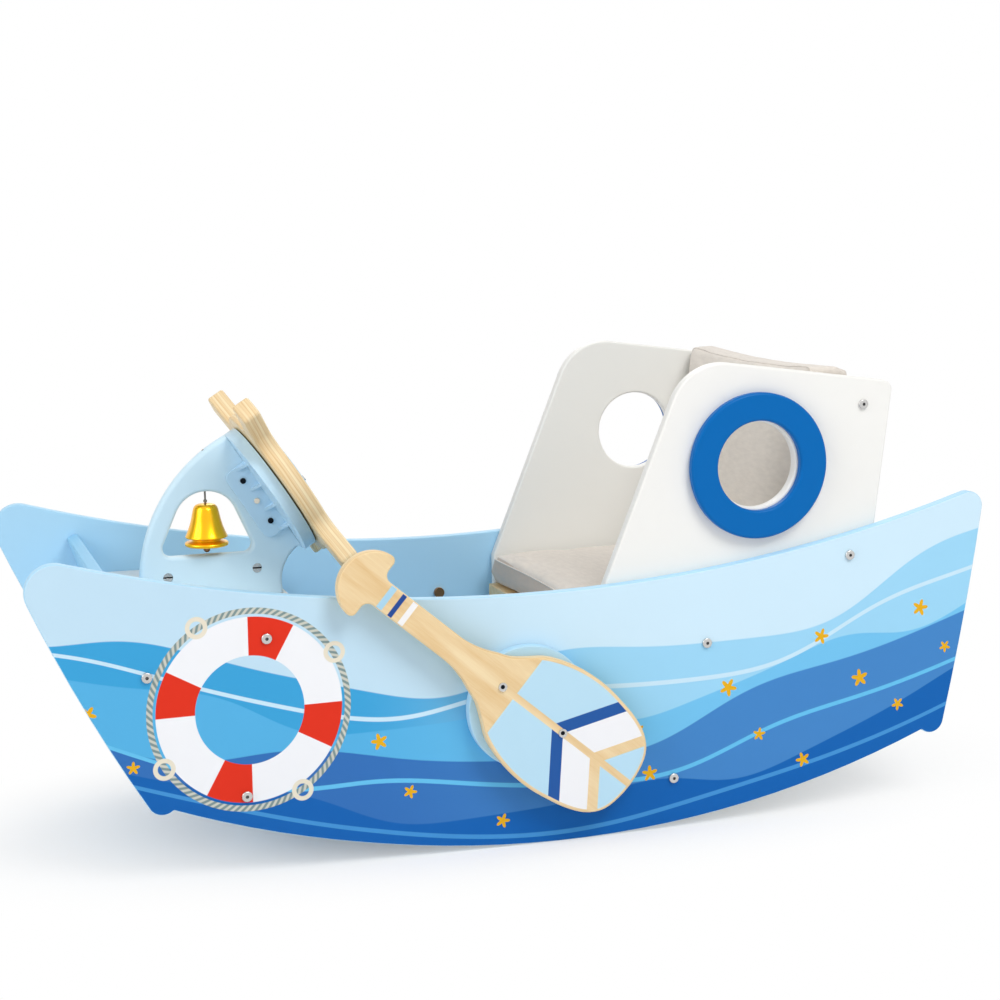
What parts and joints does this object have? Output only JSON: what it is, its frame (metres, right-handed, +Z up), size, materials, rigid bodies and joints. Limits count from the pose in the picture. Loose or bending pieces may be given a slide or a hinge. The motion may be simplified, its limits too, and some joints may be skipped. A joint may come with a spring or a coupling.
{
  "type": "rocking boat toy",
  "caption": "Toddler's rocking boat: curved plywood sides on rocker edges, cabin seat with cushions, helm console with turning wheel and bell, and a swinging paddle on each side.",
  "frame": {"origin": "on the floor under the middle of the level boat", "axes": "+X from bow to stern, +Y from port to starboard, +Z up"},
  "size_m": [0.994, 0.4296, 0.4758],
  "materials": {
    "side_paint": "satin paint with printed waves",
    "board_paint": "satin paint",
    "deck_paint": "satin paint",
    "cabin_paint": "satin white paint",
    "ring_paint": "gloss paint",
    "plywood": "clear lacquer",
    "cushion_cloth": "woven",
    "moulded_blue": "fine matt",
    "steel": "plated",
    "bell_metal": "polished",
    "cord": "twisted"
  },
  "bodies": {
    "hull": {"port_side": "side_paint", "starboard_side": "side_paint", "bow_board": "board_paint", "fore_deck": "deck_paint", "floor_board": "board_paint", "seat_board": "plywood", "back_board": "cabin_paint", "port_cabin_side": "cabin_paint", "starboard_cabin_side": "cabin_paint", "port_porthole_ring": "ring_paint", "starboard_porthole_ring": "ring_paint", "seat_cushion": "cushion_cloth", "back_cushion": "cushion_cloth", "hull_bolts": "steel", "cabin_bolts": "steel", "board_nuts": "steel", "console_plate": "board_paint", "console_bolts": "steel", "console_nuts": "steel", "dial_bracket": "moulded_blue", "bracket_screws": "steel", "helm_bolt": "steel", "helm_washer": "steel", "cord_knot": "cord", "port_pivot_bolt": "steel", "starboard_pivot_bolt": "steel", "port_pivot_nut": "steel", "starboard_pivot_nut": "steel", "port_stop_pin": "steel", "starboard_stop_pin": "steel"},
    "wheel": {"helm_wheel": "plywood", "hub_plate": "moulded_blue", "hub_screws": "steel", "face_screws": "steel"},
    "cord": {"bell_cord": "cord"},
    "bell": {"bell": "bell_metal"},
    "clapper": {"bell_clapper": "steel"},
    "port_paddle": {"port_paddle": "plywood", "port_paddle_pad": "moulded_blue", "port_paddle_screws": "steel"},
    "starboard_paddle": {"starboard_paddle": "plywood", "starboard_paddle_pad": "moulded_blue", "starboard_paddle_screws": "steel"}
  },
  "joints": [
    {"name": "helm_turn", "type": "hinge", "parent": "hull", "child": "wheel", "pos_m": [-0.229, 0, 0.349], "axis": [0.8434, 0, 0.5373], "continuous": true},
    {"name": "port_paddle_swing", "type": "hinge", "parent": "hull", "child": "port_paddle", "pos_m": [-0.015, -0.195, 0.145], "axis": [0, 1, 0], "range_deg": [-35, 40]},
    {"name": "starboard_paddle_swing", "type": "hinge", "parent": "hull", "child": "starboard_paddle", "pos_m": [-0.015, 0.195, 0.145], "axis": [0, 1, 0], "range_deg": [-35, 40]},
    {"name": "cord_swing", "type": "hinge", "parent": "hull", "child": "cord", "pos_m": [-0.296, 0, 0.35087], "axis": [0, 1, 0], "range_deg": [-12, 12]},
    {"name": "bell_swing", "type": "hinge", "parent": "cord", "child": "bell", "pos_m": [-0.296, 0, 0.33837], "axis": [1, 0, 0], "range_deg": [-25, 25]},
    {"name": "clapper_swing", "type": "hinge", "parent": "bell", "child": "clapper", "pos_m": [-0.296, 0, 0.33577], "axis": [0, 1, 0], "range_deg": [-18, 18]}
  ]
}
